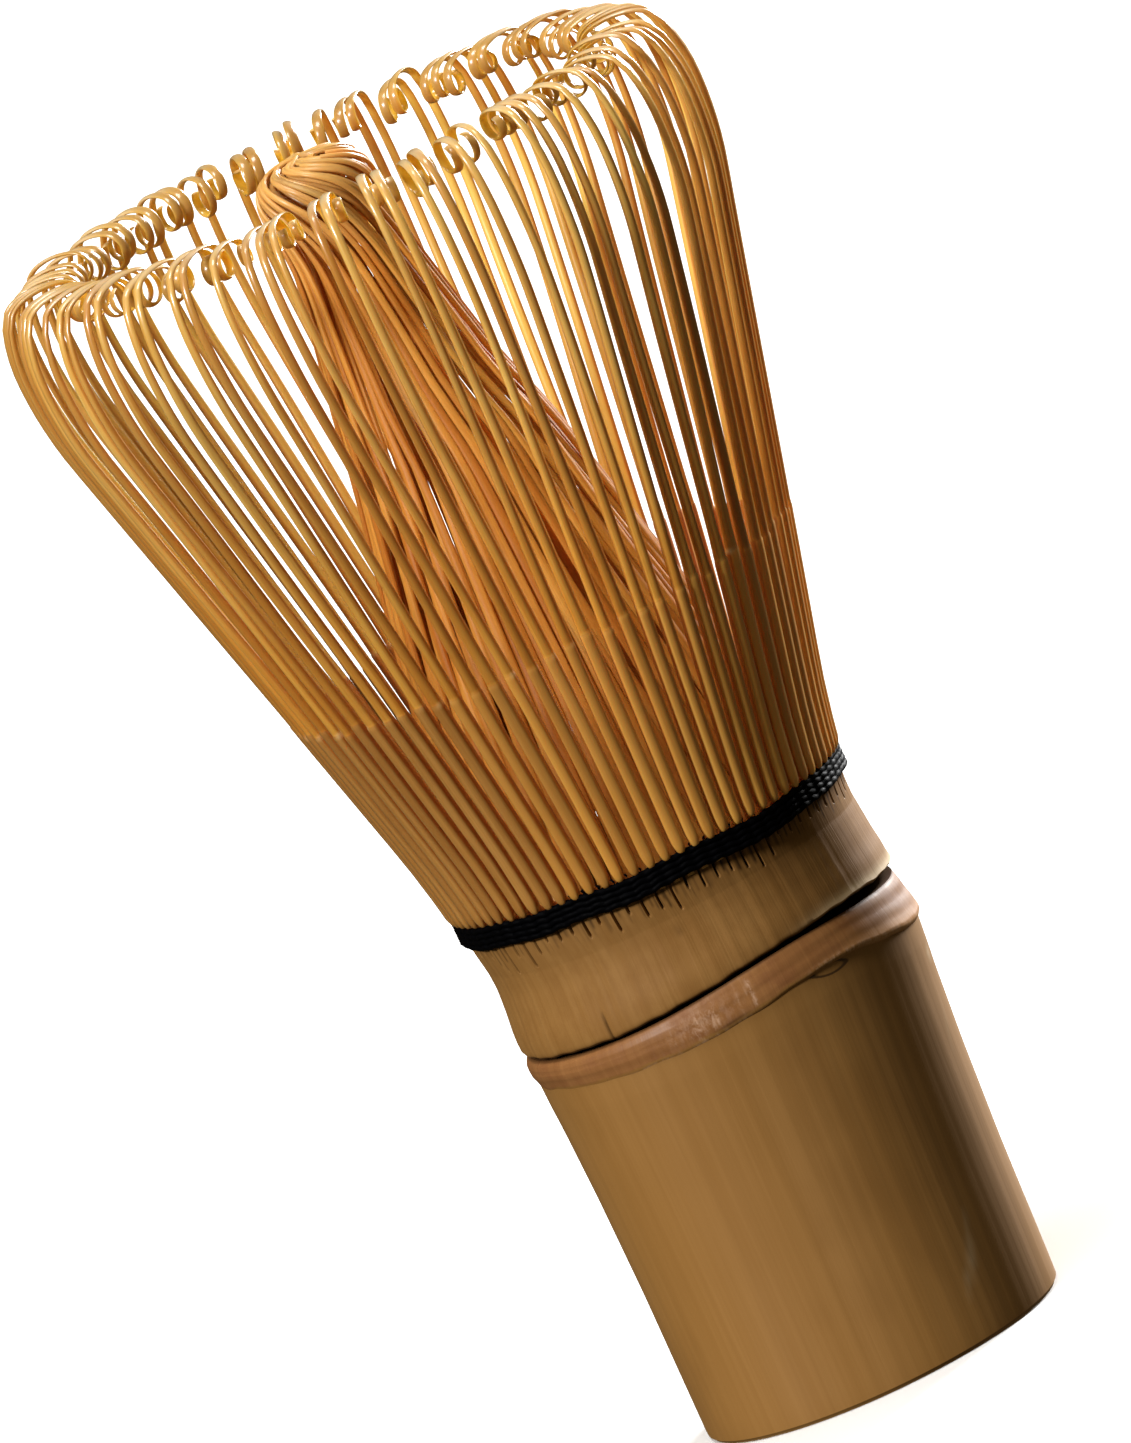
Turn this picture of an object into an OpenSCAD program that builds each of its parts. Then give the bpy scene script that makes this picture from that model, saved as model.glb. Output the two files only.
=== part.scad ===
// Bamboo tea whisk, standing on its handle with the tines up.
// One length of culm: handle, node, neck and two rings of split tines, bound by a black thread.
// +Z runs up the axis of the head; the origin is the centre of the handle's rest face.

/* [Handle] */
// Radius of the handle at its rest face
handle_base_r = 15.9; // [14:0.1:16]
// Radius of the handle just below the node
handle_top_r = 17.1; // [16.5:0.1:17.3]
// Radius of the hollow inside the handle
bore_r = 11.4; // [9:0.1:12]
// Lean of the handle against the head's axis
handle_lean = 1.9; // [0:0.1:2]

/* [Node] */
// Height of the middle of the node ridge
node_z = 34.2; // [32:0.1:36]
// Height of the reddish ridge band
ridge_h = 3.6; // [3:0.1:4]
// Largest radius of the ridge
ridge_r = 17.5; // [17.3:0.1:18]
// Tilt of the node's plane, rising towards +X
node_tilt = 2; // [0:0.1:2]
// Thickness of the septum that closes the culm at the node
septum_t = 2.2; // [1.5:0.1:2.4]
// Height of the septum's middle above the node's middle
septum_rise = 0.6; // [0.5:0.1:0.6]

/* [Neck] */
// Height of the top of the neck, where the splints begin
neck_top_z = 46.6; // [46:0.1:47]
// Radius of the neck at its waist
neck_waist_r = 16.88; // [16.7:0.01:17]
// Radius of the hollow inside the neck
neck_bore_r = 13.6; // [12.5:0.1:13.9]
// Width of the saw-fine slits between the roots
slit_w = 0.3; // [0.2:0.05:0.35]

/* [Splints] */
// Number of splints that the culm is split into
splints = 16; // [16]
// Outer tines in each splint, with as many inner ones
tines_per_splint = 5; // [5]
// Angle from one tine to the next inside a splint
tine_pitch = 4.2; // [4:0.05:4.2]

/* [Outer tines] */
// Width of an outer tine
outer_w = 0.8; // [0.6:0.05:0.8]
// Thickness of an outer tine at its root
outer_root_t = 0.9; // [0.8:0.05:0.9]
// Thickness of an outer tine at its curl
outer_tip_t = 0.4; // [0.3:0.05:0.4]
// Radius of the outer face just above the thread
outer_root_r = 17.75; // [17.7:0.01:17.8]
// Length of the straight flare
flare_len = 42; // [40:0.5:42]
// Angle of the straight flare from the axis
flare_angle = 15; // [14:0.1:15]

/* [Inner tines] */
// Width of an inner tine
inner_w = 0.45; // [0.3:0.05:0.5]
// Thickness of an inner tine
inner_t = 0.4; // [0.3:0.05:0.4]
// Height of the tip nearest the middle
inner_top_z = 111.5; // [108:0.1:111.5]
// Radius of the tips nearest the axis
inner_tip_r = 1.9; // [1.8:0.1:2]
// Step in tip radius from one inner tine of a splint to the next
inner_tip_step = 0.8; // [0.8:0.05:1.1]
// Lean of the whole inner bundle towards -X
bundle_lean = 1.5; // [0:0.1:1.5]

/* [Thread] */
// Diameter of the black thread
thread_d = 0.52; // [0.5:0.01:0.55]
// Turns of thread round the outside of the tines
thread_turns = 4; // [3:1:4]
// Height of the lowest edge of the wraps
thread_z = 46; // [45.9:0.1:46]

/* [Hidden] */
$fn = 96;
far = 60;
play = 0.3;
wrap_r = 17.1;
groove_h = 0.35;
groove_r = 16.6;
hinge_z = neck_top_z + play;
thread_h = thread_turns * thread_d;
shoulder_z = thread_z + thread_h + 0.27;
splint_angle = 360 / splints;
outer_in_r = 16.1;
outer_out_r = 16.9;
inner_in_r = 14.4;
inner_out_r = 15.1;
inner_root_z = 48.1;
weave_in_r = 15.4;
weave_out_r = 15.85;
node_x = 0.35;
handle_x = -0.62;
weave_h = 1.7;
outer_block_h = 1;
inner_block_h = 0.9;
neck_bottom_z = 32;
slit_cut = 6;

// Extra half angle that a root block reaches past its outermost tines
outer_block_margin = 1.2;
inner_block_margin = 0.8;

// Outer face of a tine above its shoulder: each stretch is [bend radius, turn in degrees, steps],
// or [0, length, 1] for a straight one. It leaves the thread leaning out by root_angle.
root_angle = 9;
stretches = [
    [75, flare_angle - root_angle, 2],
    [0, flare_len, 1],
    [33, -flare_angle, 3],
    [14, -20, 2],
    [2.9, -55, 2],
    [8, -30, 1],
    [2.4, -75, 3],
    [2.1, -90, 3],
    [1.7, -110, 3]
];

function two_digits(i) = str(i < 10 ? "0" : "", i);
function smooth(t) = t * t * (3 - 2 * t);

// Walk from [r, z, heading] along one stretch and list the places passed. A turn is split
// into chords, and a straight stretch is one step.
function walk(at, stretch) =
    let (
        bend = stretch[0],
        steps = stretch[2],
        turn = bend == 0 ? 0 : stretch[1] / steps,
        chord = bend == 0 ? stretch[1] : 2 * bend * sin(abs(turn) / 2)
    )
    [for (
        i = 0, p = at;
        i <= steps;
        i = i + 1,
        p = [
            p[0] + chord * sin(p[2] + turn / 2),
            p[1] + chord * cos(p[2] + turn / 2),
            p[2] + turn
        ]
    ) p];

function walk_all(at, list, n = 0) =
    n == len(list) ? [at] :
    let (leg = walk(at, list[n]))
    concat(
        [for (i = [0 : len(leg) - 2]) leg[i]],
        walk_all(leg[len(leg) - 1], list, n + 1)
    );

// Outline of a strip that follows outer-face places [r, z, heading], thinning towards its tip
function strip(path, t0, t1) =
    let (
        n = len(path) - 1,
        thick = [for (i = [0 : n]) max(t1, t0 - (t0 - t1) * (path[i][1] - path[0][1]) / 30)]
    )
    concat(
        [for (i = [0 : n]) [path[i][0], path[i][1]]],
        [for (i = [n : -1 : 0])
            let (t = i > 3 ? t1 : thick[i])
            [path[i][0] - t * cos(path[i][2]), path[i][1] + t * sin(path[i][2])]]
    );

// Place children on the node's tilted plane
module on_node() {
    translate([node_x, 0, node_z]) rotate([0, -node_tilt, 0]) children();
}

// Everything above or below a plane that lies dz above the middle of the node
module above_node(dz) {
    on_node() translate([-far, -far, dz]) cube([2 * far, 2 * far, far]);
}

module below_node(dz) {
    on_node() translate([-far, -far, dz - 2 * far]) cube([2 * far, 2 * far, 2 * far]);
}

// A slab that fills one splint's share of a ring, standing on z
module root_block(r_in, r_out, z, h, half_angle) {
    translate([0, 0, z]) linear_extrude(h) polygon([
        for (a = [-half_angle, 0, half_angle]) r_out * [cos(a), sin(a)],
        for (a = [half_angle, 0, -half_angle]) r_in * [cos(a), sin(a)]
    ]);
}

// Stand an outline of [radius, height] points up in its radial plane
module radial_strip(width, points) {
    rotate([90, 0, 0]) translate([0, 0, -width / 2]) linear_extrude(width) polygon(points);
}

module handle_tube() {
    color("darkkhaki") difference() {
        intersection() {
            translate([handle_x, 0, 0]) rotate([0, handle_lean, 0]) rotate_extrude() polygon([
                [0, -2], [handle_base_r, -2], [handle_base_r, 0.3],
                [handle_base_r + 0.2, 13], [handle_base_r + 0.5, 21.6],
                [handle_top_r - 0.2, 29.5], [handle_top_r, 32], [handle_top_r + 0.1, 36], [0, 36]
            ]);
            translate([-far, -far, 0]) cube([2 * far, 2 * far, far]);
            below_node(-ridge_h / 2);
        }
        translate([0, 0, -1]) cylinder(r = bore_r, h = far);
    }
}

module node_ridge() {
    half = ridge_h / 2;
    color("sienna") on_node() rotate_extrude() polygon([
        [neck_bore_r, -half], [ridge_r - 0.3, -half], [ridge_r, -half + 0.6],
        [ridge_r, half - 2.3], [ridge_r - 0.15, half - 0.8], [ridge_r - 0.4, half],
        [neck_bore_r, half]
    ]);
}

module node_septum() {
    color("burlywood") on_node() translate([0, 0, septum_rise - septum_t / 2])
        cylinder(r = neck_bore_r, h = septum_t);
}

// The slits lie between the tines, and the ones between two splints run deepest
function slit_depth(i) = i % tines_per_splint == 0 ? 2.4 : 1.1 + 0.5 * sin(137 * i);

module neck() {
    tines = splints * tines_per_splint;
    half = ridge_h / 2;
    color("tan") difference() {
        intersection() {
            rotate_extrude() polygon([
                [neck_bore_r, neck_bottom_z], [17.1, neck_bottom_z], [17.2, 38.5], [17, 40.2],
                [neck_waist_r, 42.2], [neck_waist_r, 43.6], [17.05, 45.2],
                [wrap_r, thread_z - 0.2], [wrap_r, neck_top_z], [neck_bore_r, neck_top_z]
            ]);
            above_node(half);
        }
        on_node() translate([0, 0, half - 1]) difference() {
            cylinder(r = far, h = 1 + groove_h);
            translate([0, 0, -1]) cylinder(r = groove_r, h = 3);
        }
        for (i = [0 : tines - 1])
            rotate(i * 360 / tines)
                translate([neck_bore_r - 1, -slit_w / 2, neck_top_z - slit_depth(i)])
                    cube([slit_cut, slit_w, slit_cut]);
    }
}

// Four turns of thread, side by side round the outside of the outer tines
module thread_wraps() {
    r = thread_d / 2;
    color("black") rotate_extrude() difference() {
        translate([wrap_r, thread_z]) square([2 * r, thread_h]);
        for (i = [0 : thread_turns])
            translate([wrap_r + 2 * r, thread_z + i * thread_d]) rotate(45) square(r / 2, center = true);
    }
}

// The turn that runs between the two rings of tines and holds them apart
module thread_weave() {
    color("black") translate([0, 0, neck_top_z]) difference() {
        cylinder(r = weave_out_r, h = weave_h);
        translate([0, 0, -1]) cylinder(r = weave_in_r, h = weave_h + 2);
    }
}

module outer_tines(index) {
    edge = (tines_per_splint - 1) / 2;
    path = walk_all([outer_root_r, shoulder_z, root_angle], stretches);
    blade = strip(path, outer_root_t, outer_tip_t);
    foot = [[outer_in_r, hinge_z], [outer_out_r, hinge_z], [outer_out_r, shoulder_z]];
    color("peru") rotate((index - 0.5) * splint_angle) {
        root_block(outer_in_r, outer_out_r, hinge_z, outer_block_h, edge * tine_pitch + outer_block_margin);
        for (k = [-edge : edge]) rotate(k * tine_pitch)
            radial_strip(outer_w, concat(foot, blade, [[outer_in_r, shoulder_z]]));
    }
}

// Middle line of an inner tine whose tip ends at radius tip_r and height tip_z
function inner_path(tip_r, tip_z) = [
    for (t = [0 : 0.125 : 1])
        let (middle = (inner_in_r + inner_out_r) / 2)
        [middle + (tip_r - middle) * smooth(t), inner_root_z + (tip_z - inner_root_z) * t]
];

module lean_bundle() {
    translate([0, 0, hinge_z]) rotate([0, -bundle_lean, 0]) translate([0, 0, -hinge_z]) children();
}

module inner_tines(index) {
    edge = (tines_per_splint - 1) / 2;
    color("chocolate") lean_bundle() rotate((index - 0.5) * splint_angle) {
        root_block(
            inner_in_r, inner_out_r, inner_root_z, inner_block_h, edge * tine_pitch + inner_block_margin
        );
        for (k = [-edge : edge]) rotate(k * tine_pitch) {
            rank = k + edge;
            tip_r = inner_tip_r + rank * inner_tip_step;
            path = inner_path(tip_r, inner_top_z - 0.12 * rank * rank);
            n = len(path) - 1;
            radial_strip(inner_w, concat(
                [for (i = [0 : n]) path[i] + [inner_t / 2, 0]],
                [for (i = [n : -1 : 0]) path[i] - [inner_t / 2, 0]]
            ));
        }
    }
}

handle_tube();
node_ridge();
node_septum();
neck();
thread_wraps();
thread_weave();
for (i = [1 : splints]) {
    outer_tines(i);
    inner_tines(i);
}
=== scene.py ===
import math

import bmesh
import bpy
import numpy as np
from mathutils import Matrix, Vector


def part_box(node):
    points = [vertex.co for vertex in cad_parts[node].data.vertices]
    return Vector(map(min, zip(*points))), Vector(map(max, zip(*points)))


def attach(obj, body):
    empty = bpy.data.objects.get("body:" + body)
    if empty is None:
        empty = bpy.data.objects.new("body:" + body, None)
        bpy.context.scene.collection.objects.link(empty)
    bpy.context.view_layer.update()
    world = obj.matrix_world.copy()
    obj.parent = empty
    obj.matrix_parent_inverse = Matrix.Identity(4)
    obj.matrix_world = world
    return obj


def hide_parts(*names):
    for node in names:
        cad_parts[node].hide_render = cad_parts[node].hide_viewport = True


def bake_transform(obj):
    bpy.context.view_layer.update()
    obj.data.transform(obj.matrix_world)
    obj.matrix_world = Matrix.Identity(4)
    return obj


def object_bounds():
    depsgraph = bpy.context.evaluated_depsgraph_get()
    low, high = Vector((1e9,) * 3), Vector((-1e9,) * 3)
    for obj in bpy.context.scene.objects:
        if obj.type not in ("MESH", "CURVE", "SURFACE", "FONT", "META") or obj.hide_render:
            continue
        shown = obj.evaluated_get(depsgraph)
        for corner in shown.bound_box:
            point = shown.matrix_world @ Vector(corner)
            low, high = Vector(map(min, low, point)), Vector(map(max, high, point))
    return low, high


# Looks of a bamboo tea whisk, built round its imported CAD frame. Shapes are worked out in
# millimetres in the frame's own axes and scaled to metres as each mesh is made. An azimuth is
# in degrees anticlockwise from +X seen from above, so -90 faces the camera.

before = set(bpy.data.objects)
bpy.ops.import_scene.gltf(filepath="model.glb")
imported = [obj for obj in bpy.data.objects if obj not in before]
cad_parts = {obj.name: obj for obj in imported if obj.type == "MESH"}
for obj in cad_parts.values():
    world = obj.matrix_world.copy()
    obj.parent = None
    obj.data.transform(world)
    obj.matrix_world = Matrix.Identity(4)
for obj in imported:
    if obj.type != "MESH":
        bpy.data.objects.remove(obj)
cad_low, cad_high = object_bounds()

MM = 0.001
SPLINTS = 16
TINES_PER_SPLINT = 5
PITCH = 360 / (SPLINTS * TINES_PER_SPLINT)
FRONT = -90


# ---------------------------------------------------------------- numbers and shapes

def box_mm(node):
    low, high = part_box(node)
    return np.array(low) / MM, np.array(high) / MM


def smooth(t):
    t = np.clip(t, 0, 1)
    return t * t * (3 - 2 * t)


def ramp(x, start, end):
    """0 before start, 1 after end, with a smooth rise between them."""
    return smooth((np.asarray(x, float) - start) / (end - start))


def bump_at(x, middle, width):
    """A smooth hump of height 1, width wide at half its height."""
    return np.exp(-2.77 * ((np.asarray(x, float) - middle) / width) ** 2)


def turned(azimuth):
    """Signed angle from the front, in degrees, positive to the right."""
    return (np.asarray(azimuth, float) - FRONT + 180) % 360 - 180


def away_from_back(phi):
    """Fades out, before the back, what grows towards the right, so that nothing jumps there."""
    return 1 - ramp(phi, 105, 165)


def unit(vectors):
    return vectors / np.linalg.norm(vectors, axis=-1, keepdims=True)


def radial(azimuth):
    a = np.radians(azimuth)
    return np.stack([np.cos(a), np.sin(a), np.zeros_like(a)], -1)


def ripple(azimuth, orders, rng):
    """A closed wavy line round the axis, about -1 to 1, from a few whole-number waves."""
    a = np.radians(azimuth)
    waves = [np.sin(n * a + rng.uniform(0, 2 * math.pi)) for n in orders]
    return sum(waves) / len(orders) ** 0.5


class Shell:
    """Points, faces and per-point values of one piece, gathered before its mesh is made."""

    def __init__(self):
        self.points, self.faces, self.values, self.count = [], [], {}, 0

    def add(self, points, closed_rows=False, closed_cols=True, caps=False, **values):
        """One grid of rows x columns x 3 points; each value is an array of rows x columns."""
        rows, cols = points.shape[:2]
        row = np.arange(rows if closed_rows else rows - 1)
        col = np.arange(cols if closed_cols else cols - 1)
        i, j = np.meshgrid(row, col, indexing="ij")
        i2, j2 = (i + 1) % rows, (j + 1) % cols
        quads = np.stack([i * cols + j, i * cols + j2, i2 * cols + j2, i2 * cols + j], -1)
        self.faces += (quads.reshape(-1, 4) + self.count).tolist()
        if caps:
            first = np.arange(cols)
            self.faces.append((first[::-1] + self.count).tolist())
            self.faces.append((first + (rows - 1) * cols + self.count).tolist())
        self.points.append(points.reshape(-1, 3))
        for name, value in values.items():
            size = 3 if name == "grain" else 1
            shape = (rows, cols, 3) if size == 3 else (rows, cols)
            spread = np.broadcast_to(value, shape).reshape(-1, size)
            self.values.setdefault(name, []).append(spread)
        self.count += rows * cols

    def piece(self, name, material, slot, nodes, sharp=35):
        mesh = bpy.data.meshes.new(name)
        points = np.concatenate(self.points) * MM
        mesh.from_pydata(points.tolist(), [], self.faces)
        work = bmesh.new()
        work.from_mesh(mesh)
        bmesh.ops.recalc_face_normals(work, faces=work.faces)
        work.to_mesh(mesh)
        work.free()
        for value_name, parts in self.values.items():
            data = np.concatenate(parts).astype(np.float32)
            kind = "FLOAT_VECTOR" if data.shape[1] == 3 else "FLOAT"
            layer = mesh.attributes.new(value_name, kind, "POINT")
            layer.data.foreach_set("vector" if data.shape[1] == 3 else "value", data.ravel())
        mesh.shade_smooth()
        mesh.set_sharp_from_angle(angle=math.radians(sharp))
        mesh.materials.append(material)
        made = bpy.data.objects.new(name, mesh)
        bpy.context.scene.collection.objects.link(made)
        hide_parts(*nodes)
        return made


def sweep(shell, place, out, section, width, thick, grain_from, **values):
    """Adds a solid strip along the points of place. out points away from its outer face, and
    section is a closed outline of [across, outwards] in half widths and thicknesses, either one
    for the whole strip or one for each point."""
    along = unit(np.gradient(place, axis=0))
    side = unit(np.cross(along, out))
    out = np.cross(side, along)
    across = section[..., 0] * width[:, None] / 2
    depth = section[..., 1] * thick[:, None]
    points = place[:, None] + side[:, None] * across[..., None] + out[:, None] * depth[..., None]
    steps = np.linalg.norm(np.diff(place, axis=0), axis=1)
    length = np.concatenate([[0], np.cumsum(steps)])[:, None] + 0 * across
    grain = np.stack([across, depth, length], -1) + grain_from
    rows = {k: v if np.ndim(v) == 0 or np.ndim(v) == 2 else v[:, None] for k, v in values.items()}
    shell.add(points, caps=True, grain=grain, inward=-section[..., 1], **rows)


# ---------------------------------------------------------------- materials

def srgb(red, green, blue):
    """Linear colour, with alpha, from 0-255 display values."""
    c = np.array([red, green, blue]) / 255
    linear = np.where(c <= 0.04045, c / 12.92, ((c + 0.055) / 1.055) ** 2.4)
    return (*linear.tolist(), 1.0)


class Look:
    """A node material under construction, round one Principled shader."""

    def __init__(self, name, **constants):
        self.material = bpy.data.materials.new(name)
        self.material.use_nodes = True
        self.tree = self.material.node_tree
        self.shader = self.tree.nodes["Principled BSDF"]
        for socket, value in constants.items():
            self.shader.inputs[socket.replace("_", " ")].default_value = value

    def node(self, kind, inputs, output=0, **settings):
        made = self.tree.nodes.new("ShaderNode" + kind)
        for name, value in settings.items():
            setattr(made, name, value)
        for socket, value in inputs.items():
            self.feed(made.inputs[socket], value)
        return made.outputs[output]

    def feed(self, socket, value):
        if isinstance(value, bpy.types.NodeSocket):
            self.tree.links.new(value, socket)
        else:
            socket.default_value = value

    def value(self, name):
        """One of the per-point values that were added to the piece's shell."""
        return self.node("Attribute", {}, "Fac", attribute_name=name)

    def noise(self, scale, detail=3.0, rough=0.55, shift=0.0):
        """Noise in the piece's own grain space; scale is features per mm across, through, along."""
        grain = self.node("Attribute", {}, "Vector", attribute_name="grain")
        spread = self.node("Mapping", {"Vector": grain, "Location": (shift,) * 3, "Scale": scale})
        inputs = {"Vector": spread, "Scale": 1.0, "Detail": detail, "Roughness": rough}
        return self.node("TexNoise", inputs, "Fac")

    def math(self, operation, a, b):
        return self.node("Math", {0: a, 1: b}, operation=operation)

    def times(self, a, b):
        return self.math("MULTIPLY", a, b)

    def between(self, value, start, end, low=0.0, high=1.0):
        inputs = {"Value": value, "From Min": start, "From Max": end, "To Min": low, "To Max": high}
        return self.node("MapRange", inputs, "Result", interpolation_type="SMOOTHSTEP")

    def mix(self, share, a, b):
        """Colour a where share is 0, colour b where it is 1."""
        inputs = {"Factor": share, 6: a, 7: b}
        return self.node("Mix", inputs, 2, data_type="RGBA")

    def finish(self, colour, rough, height=None, depth=0.02):
        """height is in units of depth, which is in millimetres."""
        self.feed(self.shader.inputs["Base Color"], colour)
        self.feed(self.shader.inputs["Roughness"], rough)
        if height is not None:
            inputs = {"Height": height, "Distance": depth * MM, "Strength": 1.0}
            self.feed(self.shader.inputs["Normal"], self.node("Bump", inputs, "Normal"))
        return self.material


def fibres(look, pale, dark, coarse, fine, contrast=1.0):
    """Bamboo: broad patches between two colours, crossed by long streaks of two widths."""
    broad = look.noise((coarse, coarse, coarse * 0.16), 2.0)
    streak = look.noise((fine, fine, fine * 0.015), 4.0, 0.6)
    hair = look.noise((fine * 3.2, fine * 3.2, fine * 0.05), 2.0, 0.5, 7.0)
    share = look.math("ADD", look.times(broad, 0.45), look.times(streak, 0.55))
    spread = 0.17 / contrast
    colour = look.mix(look.between(share, 0.5 - spread, 0.5 + spread), dark, pale)
    hairs = look.times(look.between(hair, 0.28, 0.5, 1.0, 0.0), 0.5 * contrast)
    colour = look.mix(hairs, colour, dark)
    height = look.math("ADD", look.times(streak, 0.6), look.times(hair, 0.4))
    return colour, height, broad


def glow(look):
    """Light soaks a little way into thin bamboo and comes out orange."""
    inputs = look.shader.inputs
    inputs["Subsurface Weight"].default_value = 0.35
    inputs["Subsurface Radius"].default_value = (1.0, 0.75, 0.4)
    inputs["Subsurface Scale"].default_value = 1.0 * MM


def culm_skin():
    """Handle: khaki skin with faint stains, scratches, painted highlights along its right rim and
    the dark outline of a leaf scar.
    """
    look = Look("culm_skin", Specular_IOR_Level=0.5)
    khaki, shade, stained = srgb(172, 126, 68), srgb(152, 107, 51), srgb(128, 86, 36)
    scratches_and_rim_highlight, scar_brown, sawn = srgb(205, 180, 142), srgb(50, 28, 8), srgb(190, 150, 94)
    colour, height, broad = fibres(look, khaki, shade, 0.1, 1.1, 0.45)
    stain = look.between(look.noise((0.1, 0.1, 0.05), 3.0, 0.6, 3.0), 0.5, 0.72)
    colour = look.mix(look.times(stain, 0.3), colour, stained)
    # Pale scratches, and painted highlights along the right rim.
    colour = look.mix(look.value("scuff"), colour, scratches_and_rim_highlight)
    scar = look.value("scar")
    outline = look.times(look.between(scar, 0.45, 0.75), look.between(scar, 1.05, 1.5, 1.0, 0.0))
    colour = look.mix(look.times(outline, 0.8), colour, scar_brown)
    colour = look.mix(look.value("cut"), colour, sawn)
    return look.finish(colour, look.between(broad, 0.3, 0.7, 0.4, 0.52), height, 0.02)


def node_ridge():
    """Ridge of the node: blotched reddish brown, khaki low down, with a painted sheen and painted
    highlights on its right shoulder, and black and dull in the groove as painted shade.
    """
    look = Look("node_ridge")
    reddish, shade, blotched = srgb(164, 114, 66), srgb(140, 92, 50), srgb(132, 80, 42)
    # shoulder is the colour of the painted highlight on the right shoulder; flaked is pale flakes,
    # with painted sheen and highlights.
    khaki, shoulder = srgb(160, 114, 58), srgb(212, 156, 100)
    # groove is painted shade: black for the groove and the top edge of the ridge.
    flakes_and_sheen, groove = srgb(226, 186, 154), srgb(14, 7, 3)
    crack = look.value("crack")
    colour, height, _ = fibres(look, reddish, shade, 0.2, 1.6, 0.6)
    blotch = look.between(look.noise((0.35, 0.35, 0.6), 4.0, 0.6, 5.0), 0.44, 0.66)
    colour = look.mix(look.times(blotch, 0.4), colour, blotched)
    patches = look.noise((0.5, 0.5, 0.7), 4.0, 0.6, 9.0)
    skin = look.math("ADD", look.value("skin"), look.times(patches, 0.9))
    colour = look.mix(look.between(skin, 0.75, 1.15), colour, khaki)
    # Painted highlight where the right shoulder faces up into the light.
    colour = look.mix(look.value("pale"), colour, shoulder)
    speck = look.between(look.noise((2.2, 2.2, 1.4), 4.0, 0.7, 2.0), 0.4, 0.62)
    # Pale flakes and scratches, with a painted sheen and painted highlights.
    colour = look.mix(look.times(look.value("scuff"), speck), colour, flakes_and_sheen)
    # Painted black shade in the groove, and the ridge's dark marks.
    colour = look.mix(crack, colour, groove)
    rough = look.math("MAXIMUM", look.between(blotch, 0.0, 1.0, 0.44, 0.58), crack)
    look.feed(look.shader.inputs["Specular IOR Level"], look.between(crack, 0.0, 1.0, 0.3, 0.0))
    return look.finish(colour, rough, height, 0.04)


def culm_inside():
    look = Look("culm_inside")
    colour, height, broad = fibres(look, srgb(200, 160, 104), srgb(156, 112, 58), 0.2, 1.4)
    colour = look.mix(look.value("crack"), colour, srgb(90, 60, 28))
    return look.finish(colour, look.between(broad, 0.3, 0.7, 0.6, 0.75), height, 0.06)


def neck_skin():
    """Neck: mottled khaki skin, with painted shade that makes it dark in the slits, at the groove,
    under the thread and on its right side, and a painted highlight that makes it pale along its
    rolled lower edge.
    """
    look = Look("neck_skin", Specular_IOR_Level=0.2)
    khaki, shade, mottled = srgb(170, 126, 70), srgb(144, 101, 49), srgb(136, 92, 42)
    # edge is the colour of the painted lip highlight; slit is that of cracks, marks and painted
    # shade.
    edge, slit = srgb(216, 188, 144), srgb(34, 18, 6)
    colour, height, broad = fibres(look, khaki, shade, 0.16, 1.6, 0.5)
    mottle = look.between(look.noise((0.45, 0.45, 0.3), 5.0, 0.65, 4.0), 0.36, 0.64)
    colour = look.mix(look.times(mottle, 0.35), colour, mottled)
    # A painted highlight along the rolled lip.
    colour = look.mix(look.value("scuff"), colour, edge)
    # Dark cracks and marks, and painted shade in the slits, at the groove, under the thread and on
    # the right side.
    colour = look.mix(look.value("crack"), colour, slit)
    return look.finish(colour, look.between(broad, 0.3, 0.7, 0.48, 0.6), height, 0.05)


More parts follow.
